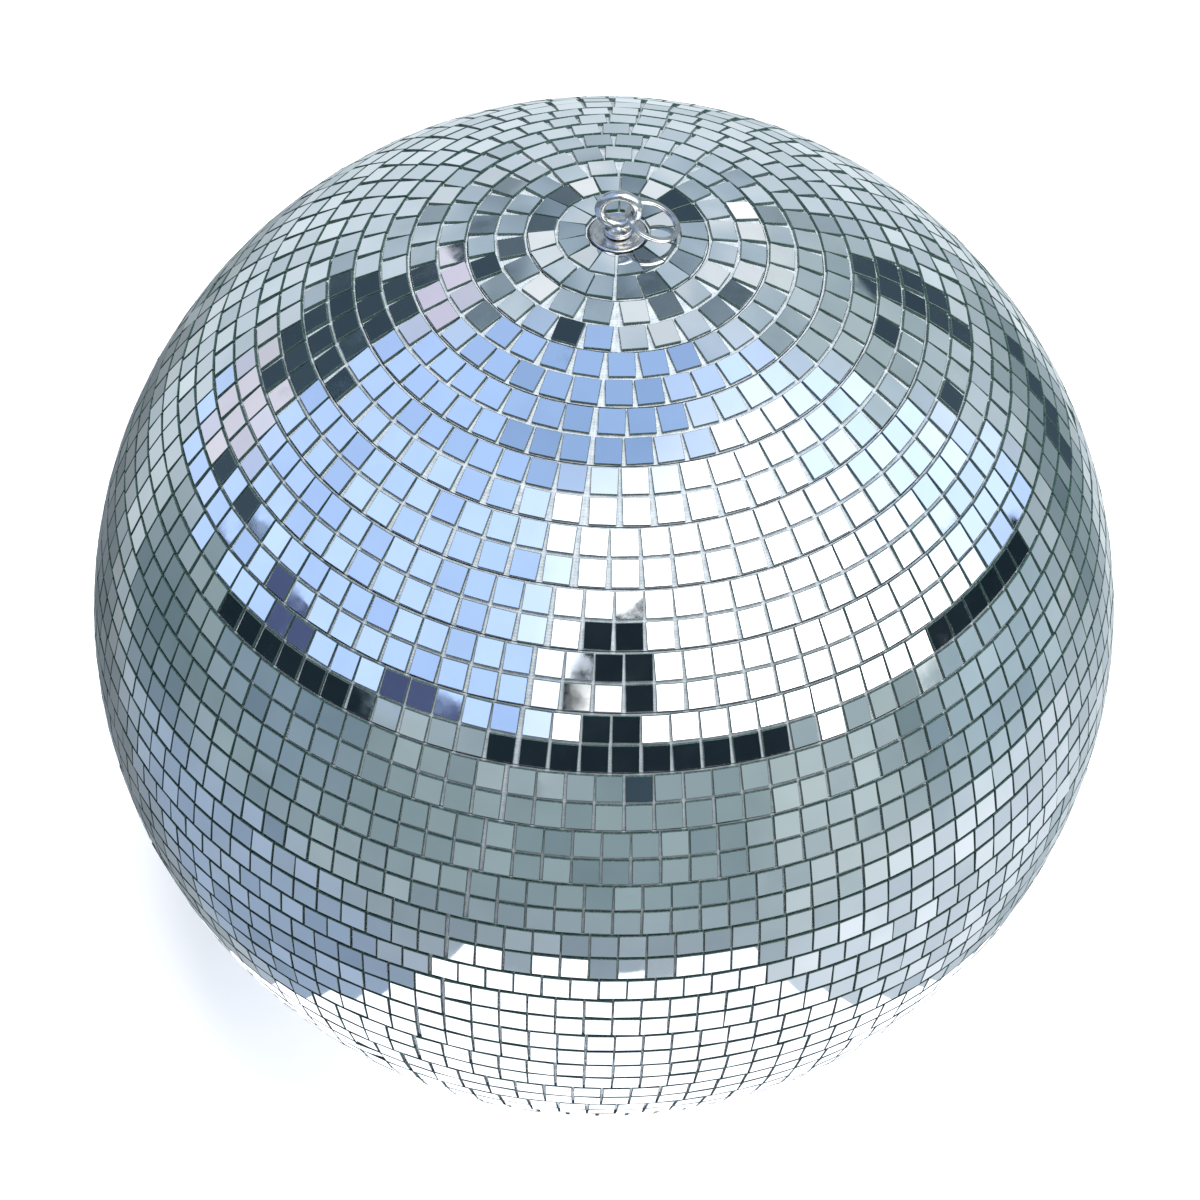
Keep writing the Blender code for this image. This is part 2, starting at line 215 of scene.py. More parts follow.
def smooth(obj, angle=30.0):
    deselect()
    obj.select_set(True)
    bpy.context.view_layer.objects.active = obj
    bpy.ops.object.shade_smooth_by_angle(angle=math.radians(angle))


def apply_modifier(obj, kind, **values):
    modifier = obj.modifiers.new(kind.title(), kind)
    for name, value in values.items():
        setattr(modifier, name, value)
    bpy.context.view_layer.objects.active = obj
    bpy.ops.object.modifier_apply(modifier=modifier.name)


def turned(name, outline, segments, centre=CENTRE):
    """Spins a closed outline of (radius, height) points round the vertical through a centre."""
    mesh = bpy.data.meshes.new(name)
    points = [(mm(radius), 0.0, mm(height)) for radius, height in outline]
    edges = [(index, (index + 1) % len(points)) for index in range(len(points))]
    mesh.from_pydata(points, edges, [])
    obj = bpy.data.objects.new(name, mesh)
    bpy.context.scene.collection.objects.link(obj)
    start_editing(obj)
    bpy.ops.mesh.select_all(action="SELECT")
    bpy.ops.mesh.spin(steps=segments, angle=FULL_TURN, center=(0.0, 0.0, 0.0), axis=(0.0, 0.0, 1.0))
    bpy.ops.mesh.select_all(action="SELECT")
    bpy.ops.mesh.remove_doubles(threshold=1e-6)
    bpy.ops.mesh.dissolve_degenerate(threshold=1e-7)
    bpy.ops.mesh.normals_make_consistent(inside=False)
    stop_editing()
    obj.data.transform(Matrix.Translation(centre))
    return obj


def arc(centre_radius, centre_height, radius, start, end, steps):
    """Points on an arc of an outline, between two angles in degrees, where 0 points outwards and 90 up."""
    angles = [math.radians(start + (end - start) * step / steps) for step in range(steps + 1)]
    return [(centre_radius + radius * math.cos(a), centre_height + radius * math.sin(a)) for a in angles]


# Materials -------------------------------------------------------------------------------------------


def linear(hex_colour):
    """An sRGB hex colour as linear RGBA."""
    channels = [int(hex_colour[index : index + 2], 16) / 255.0 for index in (1, 3, 5)]
    return (*[c / 12.92 if c <= 0.04045 else ((c + 0.055) / 1.055) ** 2.4 for c in channels], 1.0)


def brightened(hex_colour, strength):
    """A colour brighter than the hex colour, for what gives light."""
    return (*[channel * strength for channel in linear(hex_colour)[:3]], 1.0)


def fill(tree, node, given):
    """Gives a node its settings by name, and its inputs by name or number.

    An input takes a value, a hex colour, another node's output, or another node for its first output.
    """
    for key, value in given.items():
        if isinstance(key, str) and key not in node.inputs:
            setattr(node, key, value)
        elif isinstance(value, bpy.types.Node):
            tree.links.new(value.outputs[0], node.inputs[key])
        elif isinstance(value, bpy.types.NodeSocket):
            tree.links.new(value, node.inputs[key])
        else:
            node.inputs[key].default_value = linear(value) if isinstance(value, str) else value


def add(tree, kind, given=None, stops=()):
    """Adds a node with its settings and links, and a colour ramp's stops of (position, hex colour)."""
    node = tree.nodes.new(kind)
    fill(tree, node, given or {})
    if stops:
        elements = node.color_ramp.elements
        while len(elements) < len(stops):
            elements.new(0.5)
        for element, (position, colour) in zip(elements, stops):
            element.position = position
            element.color = linear(colour)
    return node


def features(size_mm, detail, roughness):
    """A noise's settings, for features about this many millimetres across."""
    return {"Scale": 1.0 / mm(size_mm), "Detail": detail, "Roughness": roughness}


def span(low, high, new_low, new_high):
    """The settings that map one range of values to another."""
    return {"From Min": low, "From Max": high, "To Min": new_low, "To Max": new_high}


def new_material(name):
    """A material with its Principled BSDF, and the piece's Object coordinates."""
    made = bpy.data.materials.new(name)
    made.use_nodes = True
    tree = made.node_tree
    coordinates = add(tree, "ShaderNodeTexCoord")
    return made, tree, tree.nodes["Principled BSDF"], coordinates.outputs["Object"]


def silvered_float_glass():
    """Silvered float glass, cut and snapped: a clear mirror whose tone differs a little from tile to tile.

    A film of dust is patchy, and a dull line shows where the silver stops short of the edge.
    """
    made, tree, shader, place = new_material("silvered_float_glass")
    tone = add(tree, "ShaderNodeAttribute", {"attribute_name": "tone"}).outputs["Fac"]
    tones = [(0.0, "#d3dadf"), (0.25, "#e6ebee"), (0.7, "#f0f3f5"), (1.0, "#f6f8f8")]
    silver = add(tree, "ShaderNodeValToRGB", {"Fac": tone}, tones)
    dust = add(tree, "ShaderNodeTexNoise", {"Vector": place, **features(34.0, 4.0, 0.6)})
    dusty = add(tree, "ShaderNodeMapRange", {"Value": dust, **span(0.45, 0.75, 0.0, 0.16)})
    dusted = add(tree, "ShaderNodeMix", {**RGBA, FACTOR: dusty, FIRST: silver, SECOND: "#a9b0b0"})
    face = add(tree, "ShaderNodeUVMap", {"uv_map": "tile_face"})
    centred = add(tree, "ShaderNodeVectorMath", {"operation": "SUBTRACT", 0: face, 1: (0.5, 0.5, 0.0)})
    size = add(tree, "ShaderNodeVectorMath", {"operation": "ABSOLUTE", 0: centred})
    parts = add(tree, "ShaderNodeSeparateXYZ", {"Vector": size}).outputs
    edge = add(tree, "ShaderNodeMath", {"operation": "MAXIMUM", 0: parts["X"], 1: parts["Y"]})
    creep = add(tree, "ShaderNodeTexNoise", {"Vector": place, **features(1.6, 4.0, 0.65)})
    reach = add(tree, "ShaderNodeMath", {"operation": "MULTIPLY_ADD", 0: creep, 1: 0.016, 2: edge})
    worn = add(tree, "ShaderNodeMapRange", {**SOFTLY, "Value": reach, **span(0.484, 0.502, 0.0, 1.0)})
    silvering = {FACTOR: worn, FIRST: dusted.outputs[MIXED], SECOND: "#59615f"}
    colour = add(tree, "ShaderNodeMix", {**RGBA, **silvering}).outputs[MIXED]
    smear = add(tree, "ShaderNodeTexNoise", {"Vector": place, **features(9.0, 5.0, 0.6)})
    film = add(tree, "ShaderNodeMapRange", {"Value": smear, **span(0.35, 0.75, 0.012, 0.06)})
    dull = add(tree, "ShaderNodeMath", {"operation": "MULTIPLY_ADD", 0: worn, 1: 0.35, 2: film})
    waves = add(tree, "ShaderNodeTexNoise", {"Vector": place, **features(26.0, 1.0, 0.4)})
    relief = add(tree, "ShaderNodeBump", {"Height": waves, "Distance": mm(0.06), "Strength": 1.0})
    fill(tree, shader, {"Base Color": colour, "Metallic": 1.0, "Roughness": dull, "Normal": relief})
    fill(tree, shader, {"Coat Weight": 0.6, "Coat Roughness": 0.02, "Coat IOR": GLASS_IOR})
    return made


def snapped_glass_edge():
    """The snapped edge of green float glass: dark sea green with lighter chips and a dull sheen."""
    made, tree, shader, place = new_material("snapped_glass_edge")
    chips = add(tree, "ShaderNodeTexNoise", {"Vector": place, **features(0.7, 3.0, 0.7)})
    greens = [(0.3, "#1f2e2b"), (0.6, "#3d5550"), (0.8, "#6f8d86")]
    colour = add(tree, "ShaderNodeValToRGB", {"Fac": chips}, greens)
    gloss = add(tree, "ShaderNodeMapRange", {"Value": chips, **span(0.3, 0.8, 0.12, 0.45)})
    relief = add(tree, "ShaderNodeBump", {"Height": chips, "Distance": mm(0.08), "Strength": 1.0})
    fill(tree, shader, {"Base Color": colour, "Roughness": gloss, "Normal": relief, "IOR": GLASS_IOR})
    return made


def scrim_and_adhesive():
    """Glass-fibre scrim in pale contact adhesive: a light grey ground, a fine weave and glossier beads."""
    made, tree, shader, place = new_material("scrim_and_adhesive")
    strands = add(tree, "ShaderNodeUVMap", {"uv_map": "backing_grid"})
    wave = {"wave_type": "BANDS", "Vector": strands, "Scale": WAVE_PERIOD, "Distortion": 0.0}
    along = add(tree, "ShaderNodeTexWave", {**wave, "bands_direction": "X"}).outputs["Fac"]
    across = add(tree, "ShaderNodeTexWave", {**wave, "bands_direction": "Y"}).outputs["Fac"]
    weave = add(tree, "ShaderNodeMath", {"operation": "MAXIMUM", 0: along, 1: across})
    beads = add(tree, "ShaderNodeTexNoise", {"Vector": place, **features(3.0, 4.0, 0.6)})
    greys = [(0.3, "#8a949a"), (0.55, "#a8b0b6"), (0.8, "#c0c7cb")]
    ground = add(tree, "ShaderNodeValToRGB", {"Fac": beads}, greys)
    proud = add(tree, "ShaderNodeMapRange", {"Value": weave, **span(0.6, 1.0, 0.0, 0.35)})
    colour = add(tree, "ShaderNodeMix", {**RGBA, FACTOR: proud, FIRST: ground, SECOND: "#c3c9cd"})
    gloss = add(tree, "ShaderNodeMapRange", {"Value": beads, **span(0.35, 0.7, 0.6, 0.32)})
    relief = add(tree, "ShaderNodeBump", {"Height": weave, "Distance": mm(0.12), "Strength": 0.8})
    fill(tree, shader, {"Base Color": colour.outputs[MIXED], "Roughness": gloss, "Normal": relief})
    return made


def nickel_plate():
    """Bright nickel plate on steel: a white metal with fine scratches and rubbed, darker patches."""
    made, tree, shader, place = new_material("nickel_plate")
    rubbed = add(tree, "ShaderNodeTexNoise", {"Vector": place, **features(5.0, 4.0, 0.6)})
    whites = [(0.3, "#aeadab"), (0.6, "#cdcdcb"), (0.8, "#dfdfde")]
    colour = add(tree, "ShaderNodeValToRGB", {"Fac": rubbed}, whites)
    scratches = add(tree, "ShaderNodeTexNoise", {"Vector": place, **features(0.5, 5.0, 0.7)})
    gloss = add(tree, "ShaderNodeMapRange", {"Value": scratches, **span(0.3, 0.75, 0.12, 0.32)})
    relief = add(tree, "ShaderNodeBump", {"Height": scratches, "Distance": mm(0.01), "Strength": 1.0})
    fill(tree, shader, {"Base Color": colour, "Metallic": 1.0, "Roughness": gloss, "Normal": relief})
    return made


def zinc_plate():
    """Blue zinc plate on steel: a cool grey with a mottled bloom and soft gloss."""
    made, tree, shader, place = new_material("zinc_plate")
    bloom = add(tree, "ShaderNodeTexNoise", {"Vector": place, **features(3.0, 5.0, 0.65)})
    greys = [(0.3, "#848b93"), (0.55, "#a6adb4"), (0.8, "#bcc0bd")]
    colour = add(tree, "ShaderNodeValToRGB", {"Fac": bloom}, greys)
    gloss = add(tree, "ShaderNodeMapRange", {"Value": bloom, **span(0.3, 0.75, 0.28, 0.5)})
    relief = add(tree, "ShaderNodeBump", {"Height": bloom, "Distance": mm(0.02), "Strength": 1.0})
    fill(tree, shader, {"Base Color": colour, "Metallic": 1.0, "Roughness": gloss, "Normal": relief})
    return made


def moulded_abs():
    """Moulded black ABS: a near-black plastic with flow marks and the fine even grain of an eroded mould."""
    made, tree, shader, place = new_material("moulded_abs")
    flow = add(tree, "ShaderNodeTexNoise", {"Vector": place, **features(60.0, 2.0, 0.5)})
    grain = add(tree, "ShaderNodeTexNoise", {"Vector": place, **features(0.9, 2.0, 0.5)})
    colour = add(tree, "ShaderNodeValToRGB", {"Fac": flow}, [(0.3, "#2b2e30"), (0.7, "#383b3e")])
    gloss = add(tree, "ShaderNodeMapRange", {"Value": grain, **span(0.3, 0.7, 0.45, 0.62)})
    relief = add(tree, "ShaderNodeBump", {"Height": grain, "Distance": mm(0.03), "Strength": 1.0})
    fill(tree, shader, {"Base Color": colour, "Roughness": gloss, "Normal": relief})
    return made


def turned_brass():
    """Turned brass: warm yellow metal with the fine rings that the lathe tool leaves."""
    made, tree, shader, place = new_material("turned_brass")
    rings = {"wave_type": "BANDS", "bands_direction": "Z", "Scale": WAVE_PERIOD / mm(0.6), "Distortion": 0.3}
    lines = add(tree, "ShaderNodeTexWave", {"Vector": place, **rings}).outputs["Fac"]
    tone = add(tree, "ShaderNodeTexNoise", {"Vector": place, **features(4.0, 3.0, 0.5)})
    colour = add(tree, "ShaderNodeValToRGB", {"Fac": tone}, [(0.3, "#b08a45"), (0.7, "#d3b06a")])
    gloss = add(tree, "ShaderNodeMapRange", {"Value": lines, **span(0.0, 1.0, 0.2, 0.38)})
    relief = add(tree, "ShaderNodeBump", {"Height": lines, "Distance": mm(0.01), "Strength": 1.0})
    fill(tree, shader, {"Base Color": colour, "Metallic": 1.0, "Roughness": gloss, "Normal": relief})
    return made


def natural_nylon():
    """Natural nylon: milky white plastic, slightly waxy, with faint yellowing."""
    made, tree, shader, place = new_material("natural_nylon")
    tone = add(tree, "ShaderNodeTexNoise", {"Vector": place, **features(6.0, 3.0, 0.5)})
    colour = add(tree, "ShaderNodeValToRGB", {"Fac": tone}, [(0.3, "#d6d1bd"), (0.7, "#e9e6d8")])
    gloss = add(tree, "ShaderNodeMapRange", {"Value": tone, **span(0.3, 0.7, 0.4, 0.55)})
    fill(tree, shader, {"Base Color": colour, "Roughness": gloss})
    fill(tree, shader, {"Subsurface Weight": 0.15, "Subsurface Scale": mm(1.0)})
    return made


# Tiles -----------------------------------------------------------------------------------------------


def make_tile(mirror, edge, name, pole_side_width=TILE_SIZE):
    """One glass tile, face up, the centre of its face at the origin and -X towards the pole.

    Its upper edges are broken, and a tile next to a pole is cut narrower on its pole side.
    """
    deselect()
    bpy.ops.mesh.primitive_cube_add(size=1.0, location=(0.0, 0.0, mm(-TILE_THICKNESS / 2.0)))
    tile = bpy.context.active_object
    tile.name = name
    tile.scale = (mm(TILE_SIZE), mm(TILE_SIZE), mm(TILE_THICKNESS))
    bpy.context.view_layer.update()
    settle(tile)
    for uv_map in list(tile.data.uv_layers):
        tile.data.uv_layers.remove(uv_map)
    start_editing(tile)
    bpy.ops.mesh.select_all(action="DESELECT")
    shape = bmesh.from_edit_mesh(tile.data)
    for vertex in shape.verts:
        vertex.select = vertex.co.x < 0.0
    shape.select_flush_mode()
    bmesh.update_edit_mesh(tile.data)
    bpy.ops.transform.resize(value=(1.0, pole_side_width / TILE_SIZE, 1.0))
    bpy.ops.mesh.select_all(action="DESELECT")
    shape = bmesh.from_edit_mesh(tile.data)
    for rim in shape.edges:
        rim.select = all(vertex.co.z > mm(-TILE_THICKNESS / 2.0) for vertex in rim.verts)
    bmesh.update_edit_mesh(tile.data)
    bpy.ops.mesh.bevel(offset=mm(TILE_ARRIS), segments=1, affect="EDGES")
    stop_editing()
    tile.data.materials.append(mirror)
    tile.data.materials.append(edge)
    face_map = tile.data.uv_layers.new(name="tile_face")
    for polygon in tile.data.polygons:
        polygon.material_index = 0 if polygon.normal.z > 0.9 else 1
        for loop in polygon.loop_indices:
            corner = tile.data.vertices[tile.data.loops[loop].vertex_index].co
            along = corner.x / mm(TILE_SIZE) + 0.5
            width = mm(pole_side_width + (TILE_SIZE - pole_side_width) * along)
            face_map.data[loop].uv = (along, corner.y / width + 0.5)
    tile.data.attributes.new("tone", "FLOAT", "FACE")
    return tile


def row_middle(row):
    return (row + 0.5) * ROW_STEP


def rows_from_pole(row):
    return min(row, ROWS_POLE_TO_POLE - 1 - row)


def side_radius(row, side):
    """How far a row's tiles are from the axis: on their pole side for side -1, on the other for side 1."""
    angle = row_middle(rows_from_pole(row))
    return TILE_FACE_RADIUS * math.sin(angle) + side * TILE_SIZE / 2.0 * math.cos(angle)


def tiles_in_row(row):
    """As many tiles as fit: whole ones meet first on their pole side, cut ones on the other side."""
    side = 1 if rows_from_pole(row) < CUT_ROWS else -1
    return int(FULL_TURN * side_radius(row, side) / (TILE_SIZE + COLUMN_GAP)) + (side > 0)


def strip_rows(number):
    """The rows of a strip: pairs from the top pole, one row at the equator, then pairs again."""
    if number == EQUATOR_STRIP:
        return [EQUATOR_ROW]
    if number < EQUATOR_STRIP:
        first = 2 * number - 1
    else:
        first = EQUATOR_ROW + 1 + 2 * (number - EQUATOR_STRIP - 1)
    return [first, first + 1]


def shared_count(rows):
    """Columns run straight through a strip's rows, except near a pole, where the rows' counts differ more."""
    counts = [tiles_in_row(row) for row in rows]
    loose = min(rows_from_pole(row) for row in rows) < LOOSE_ROWS
    return counts if loose else [min(counts)] * len(rows)


def tile_place(row, azimuth, draw):
    """Where a tile lies on the ball, with the small errors of laying it by hand."""
    share = max(0.0, 1.0 - rows_from_pole(row) / LOOSE_ROWS)
    most = LAYING_TILT + (POLAR_LAYING_TILT - LAYING_TILT) * share
    if draw.random() < STRAY_SHARE:
        most = STRAY_TILT
    lean = Matrix.Rotation(draw.uniform(-most, most), 4, "X")
    lean = lean @ Matrix.Rotation(draw.uniform(-most, most), 4, "Y")
    half_turn = math.pi if row > EQUATOR_ROW else 0.0
    turn = Matrix.Rotation(half_turn + draw.uniform(-LAYING_TURN, LAYING_TURN), 4, "Z")
    off = [mm(draw.uniform(-LAYING_SHIFT, LAYING_SHIFT)) for _ in range(2)]
    outwards = Matrix.Translation((*off, mm(TILE_FACE_RADIUS)))
    to_place = Matrix.Rotation(azimuth, 4, "Z") @ Matrix.Rotation(row_middle(row), 4, "Y")
    return Matrix.Translation(CENTRE) @ to_place @ outwards @ turn @ lean


def copy_tile(tile, place, tone):
    mesh = tile.data.copy()
    mesh.transform(place)
    mesh.attributes["tone"].data.foreach_set("value", np.full(len(mesh.polygons), tone, np.float32))
    copied = bpy.data.objects.new("tile", mesh)
    bpy.context.scene.collection.objects.link(copied)
    return copied


def join(objects, name):
    with bpy.context.temp_override(active_object=objects[0], selected_editable_objects=objects):
        bpy.ops.object.join()
    objects[0].name = name
    objects[0].data.name = name
    return objects[0]


def make_patterns(mirror, edge):
    """The whole tile, and the tile cut for each row beside a pole."""
    patterns = {CUT_ROWS: make_tile(mirror, edge, "whole_tile")}
    for row in range(1, CUT_ROWS):
        width = FULL_TURN * side_radius(row, -1) / tiles_in_row(row) - COLUMN_GAP
        patterns[row] = make_tile(mirror, edge, f"cut_tile_{row}", width)
    return patterns


def make_tiles(number, patterns):
    """All the tiles of one strip, as one piece."""
    draw = random.Random(number)
    rows = strip_rows(number)
    joint = FIRST_JOINT + JOINT_STEP * number + draw.uniform(-JOINT_WANDER, JOINT_WANDER)
    tiles = []
    for row, count in zip(rows, shared_count(rows)):
        pattern = patterns[min(rows_from_pole(row), CUT_ROWS)]
        opening = JOINT_EXTRA / side_radius(row, 1)
        pitch = (FULL_TURN - opening) / count
        for column in range(count):
            azimuth = joint + opening / 2.0 + pitch * (column + 0.5)
            tiles.append(copy_tile(pattern, tile_place(row, azimuth, draw), draw.random()))
    return join(tiles, f"tiles_{number:02d}")


def make_backing(number, finish):
    """The thin ring of scrim and adhesive under one strip's tiles."""
    rows = strip_rows(number)
    trim = mm(STRIP_EDGE_GAP / 2.0) / mm(BACKING_TOP_RADIUS)
    top, bottom = rows[0] * ROW_STEP + trim, (rows[-1] + 1) * ROW_STEP - trim
    steps = 2 * len(rows)
    angles = [top + (bottom - top) * step / steps for step in range(steps + 1)]
    outline = [(BACKING_TOP_RADIUS * math.sin(a), BACKING_TOP_RADIUS * math.cos(a)) for a in angles]
    under = BACKING_TOP_RADIUS - BACKING_THICKNESS
    outline += [(under * math.sin(a), under * math.cos(a)) for a in (bottom, (top + bottom) / 2.0, top)]
    backing = turned(f"backing_{number:02d}", outline, BACKING_SEGMENTS)
    grid = backing.data.uv_layers.new(name="backing_grid")
    for loop in backing.data.loops:
        out = backing.data.vertices[loop.vertex_index].co - CENTRE
        along = math.atan2(out.y, out.x) * mm(BACKING_TOP_RADIUS) * math.sin(angles[0])
        down = math.acos(max(-1.0, min(1.0, out.z / out.length))) * mm(BACKING_TOP_RADIUS)
        grid.data[loop.index].uv = (along / mm(WEAVE_SPACING), down / mm(WEAVE_SPACING))
    backing.data.materials.append(finish)
    smooth(backing)
    return backing


def make_strips(mirror, edge, scrim):
    patterns = make_patterns(mirror, edge)
    for number in range(TOP_STRIP, BOTTOM_STRIP + 1):
        tiles = make_tiles(number, patterns)
        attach(tiles, "ball")
        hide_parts(f"tile_strip_{number:02d}")
        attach(make_backing(number, scrim), "ball")
    for pattern in patterns.values():
        bpy.data.objects.remove(pattern)


def make_pole_mirror(mirror, edge):
    """The round mirror that closes the bottom pole, its rim ground to a narrow bevel."""
    low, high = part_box("pole_mirror")
    radius = in_mm(high.x - low.x) / 2.0
    bottom = in_mm(low.z - CENTRE.z)
    top, bevel = bottom + POLE_MIRROR_THICKNESS, POLE_MIRROR_BEVEL
    outline = [(0.0, top), (radius, top), (radius, bottom + bevel), (radius - bevel, bottom), (0.0, bottom)]
    disc = turned("round_pole_mirror", outline, ROUND_SEGMENTS)
    disc.data.materials.append(mirror)
    disc.data.materials.append(edge)
    face_map = disc.data.uv_layers.new(name="tile_face")
    for polygon in disc.data.polygons:
        polygon.material_index = 0 if polygon.normal.z < -0.5 else 1
        for loop in polygon.loop_indices:
            corner = disc.data.vertices[disc.data.loops[loop].vertex_index].co
            share = math.hypot(corner.x, corner.y) / mm(radius)
            face_map.data[loop].uv = (0.5 + share * POLE_MIRROR_REACH, 0.5)
    tone = disc.data.attributes.new("tone", "FLOAT", "FACE")
    tone.data.foreach_set("value", np.full(len(disc.data.polygons), POLE_MIRROR_TONE, np.float32))
    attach(disc, "ball")
    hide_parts("pole_mirror")


# Hanger ----------------------------------------------------------------------------------------------


def make_rosette(finish):
    """The dished cover washer round the shank, its rim rolled over."""
    low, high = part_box("hanger_rosette")
    radius = in_mm(high.x - low.x) / 2.0
    bottom, top = in_mm(low.z - CENTRE.z), in_mm(high.z - CENTRE.z)
    bore, roll = SHANK_RADIUS + ROSETTE_BORE_GAP, ROSETTE_ROLL
    outline = [(bore, top - ROSETTE_EDGE), (bore + ROSETTE_LAND, top)]
    outline += [(radius - inwards, top - down) for inwards, down in ROSETTE_DISH]
    outline += arc(radius - roll, bottom + roll + ROSETTE_EDGE, roll, 120.0, -60.0, 8)
    outline += [(radius - inwards, bottom + up) for inwards, up in ROSETTE_UNDERSIDE]
    outline.append((bore, bottom))
    rosette = turned("rosette", outline, ROUND_SEGMENTS)
    rosette.data.materials.append(finish)
    smooth(rosette, 40.0)
    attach(rosette, "ball")
    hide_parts("hanger_rosette")


def eye_loop_radius():
    low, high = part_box("swivel_eye")
    return (high.x - low.x) / 2.0


def eye_centre():
    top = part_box("swivel_eye")[1].z
    return Vector((0.0, 0.0, top - eye_loop_radius()))


def make_eye(finish):
    """The eye: a closed loop of wire on a turned collar and shank, with the weld between them filled."""
    outer, middle = eye_loop_radius(), eye_centre().z
    deselect()
    bpy.ops.mesh.primitive_torus_add(
        location=(0.0, 0.0, middle),
        rotation=(math.pi / 2.0, 0.0, 0.0),
        major_radius=outer - mm(EYE_WIRE_RADIUS),
        minor_radius=mm(EYE_WIRE_RADIUS),
        major_segments=EYE_SEGMENTS,
        minor_segments=WIRE_SEGMENTS,
    )
    loop = bpy.context.active_object
    settle(loop)
    bottom = in_mm(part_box("swivel_eye")[0].z - CENTRE.z)
    neck = in_mm(middle - CENTRE.z) - (in_mm(outer) - EYE_WIRE_RADIUS)
    over, under = COLLAR_TOP_ROUNDING, COLLAR_BOTTOM_ROUNDING
    outline = [(radius, neck + rise) for radius, rise in EYE_WELD]
    outline += arc(COLLAR_RADIUS - over, COLLAR_TOP - over, over, 100.0, 0.0, 5)
    outline += arc(COLLAR_RADIUS - under, COLLAR_BOTTOM + under, under, 0.0, -90.0, 4)
    outline += [(SHANK_RADIUS, COLLAR_BOTTOM), (SHANK_RADIUS, bottom + SHANK_CHAMFER)]
    outline += [(SHANK_RADIUS - SHANK_CHAMFER, bottom), (0.0, bottom)]
    eye = turned("eye", outline, SHANK_SEGMENTS)
    apply_modifier(eye, "BOOLEAN", operation="UNION", object=loop)
    bpy.data.objects.remove(loop)
    eye.data.materials.clear()
    eye.data.materials.append(finish)
    smooth(eye, 35.0)
    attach(eye, "hanger")
    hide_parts("swivel_eye")


def make_split_ring(finish):
    """The split ring: two flat turns of one wire, wound like a spring and open at both ends."""
    half, inner, outer = RING_WIRE_HEIGHT / 2.0, RING_INNER_RADIUS, RING_OUTER_RADIUS
    section = [(inner, half - RING_ROUNDING), (inner + RING_ROUNDING, half)]
    section += [(outer - RING_ROUNDING, half), (outer, half - RING_ROUNDING)]
    section += [(radius, -height) for radius, height in reversed(section)]
    start_height = -RING_TURNS * RING_PITCH / 2.0
    points = [(mm(radius), 0.0, mm(start_height + height)) for radius, height in section]
    mesh = bpy.data.meshes.new("wound_ring")
    mesh.from_pydata(points, [(index, (index + 1) % len(points)) for index in range(len(points))], [])
    ring = bpy.data.objects.new("wound_ring", mesh)
    bpy.context.scene.collection.objects.link(ring)
    steps = RING_TURNS * RING_SEGMENTS
    turns = {"axis": "Z", "angle": RING_TURNS * FULL_TURN, "screw_offset": mm(RING_TURNS * RING_PITCH)}
    counts = {"steps": steps, "render_steps": steps, "use_normal_calculate": True, "use_smooth_shade": False}
    apply_modifier(ring, "SCREW", **turns, **counts)
    start_editing(ring)
    bpy.ops.mesh.select_all(action="DESELECT")
    bpy.ops.mesh.select_non_manifold()
    bpy.ops.mesh.fill_holes(sides=len(points))
    bpy.ops.mesh.select_all(action="SELECT")
    bpy.ops.mesh.normals_make_consistent(inside=False)
    stop_editing()
    low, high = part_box("split_ring")
    middle = (low + high) / 2.0
    tilt = math.atan2(eye_centre().z - middle.z, middle.x)
    ring.data.transform(Matrix.Translation(middle) @ Matrix.Rotation(tilt, 4, "Y"))
    ring.data.materials.append(finish)
    smooth(ring, 40.0)
    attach(ring, "ring")
    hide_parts("split_ring")


# Studio ----------------------------------------------------------------------------------------------


def direction(azimuth, elevation):
    """A unit vector: azimuth 0 points at the camera's side and 90 to its right, in degrees."""
    a, e = math.radians(azimuth), math.radians(elevation)
    return Vector((math.sin(a) * math.cos(e), -math.cos(a) * math.cos(e), math.sin(e)))


def glow(name, colour, strength=1.0, on_matt=None):
    """A glowing finish. on_matt is its strength for the matt surfaces that it lights, where that differs."""
    made = bpy.data.materials.new(name)
    made.use_nodes = True
    tree = made.node_tree
    tree.nodes.clear()
    shader = add(tree, "ShaderNodeEmission", {"Color": colour, "Strength": strength})
    if on_matt:
        rays = add(tree, "ShaderNodeLightPath").outputs["Is Diffuse Ray"]
        level = add(tree, "ShaderNodeMapRange", {"Value": rays, **span(0.0, 1.0, strength, on_matt)})
        fill(tree, shader, {"Strength": level})
    add(tree, "ShaderNodeOutputMaterial", {"Surface": shader})
    return made


def only_in_mirrors(obj, gives_light=False):
    """The object shows in the tiles and nowhere else, apart from the light it may give."""
    obj.visible_camera = False
    obj.visible_diffuse = gives_light
    obj.visible_shadow = False
    obj.visible_transmission = False


def sky_patch(name, azimuths, elevations, material, distance=CARD_DISTANCE, lift=0.0):
    """A curved card round the ball. lift raises it at azimuth 0 and lowers it behind, in degrees."""
    points, faces = [], []
    for step in range(CARD_STEPS + 1):
        azimuth = azimuths[0] + (azimuths[1] - azimuths[0]) * step / CARD_STEPS
        raised = lift * math.cos(math.radians(azimuth))
        for elevation in elevations:
            points.append(CENTRE + direction(azimuth, elevation + raised) * distance)
    for step in range(CARD_STEPS):
        first = 2 * step
        faces.append((first, first + 1, first + 3, first + 2))
    mesh = bpy.data.meshes.new(name)
    mesh.from_pydata(points, [], faces)
    card = bpy.data.objects.new(name, mesh)
    bpy.context.scene.collection.objects.link(card)
    mesh.materials.append(material)
    only_in_mirrors(card)


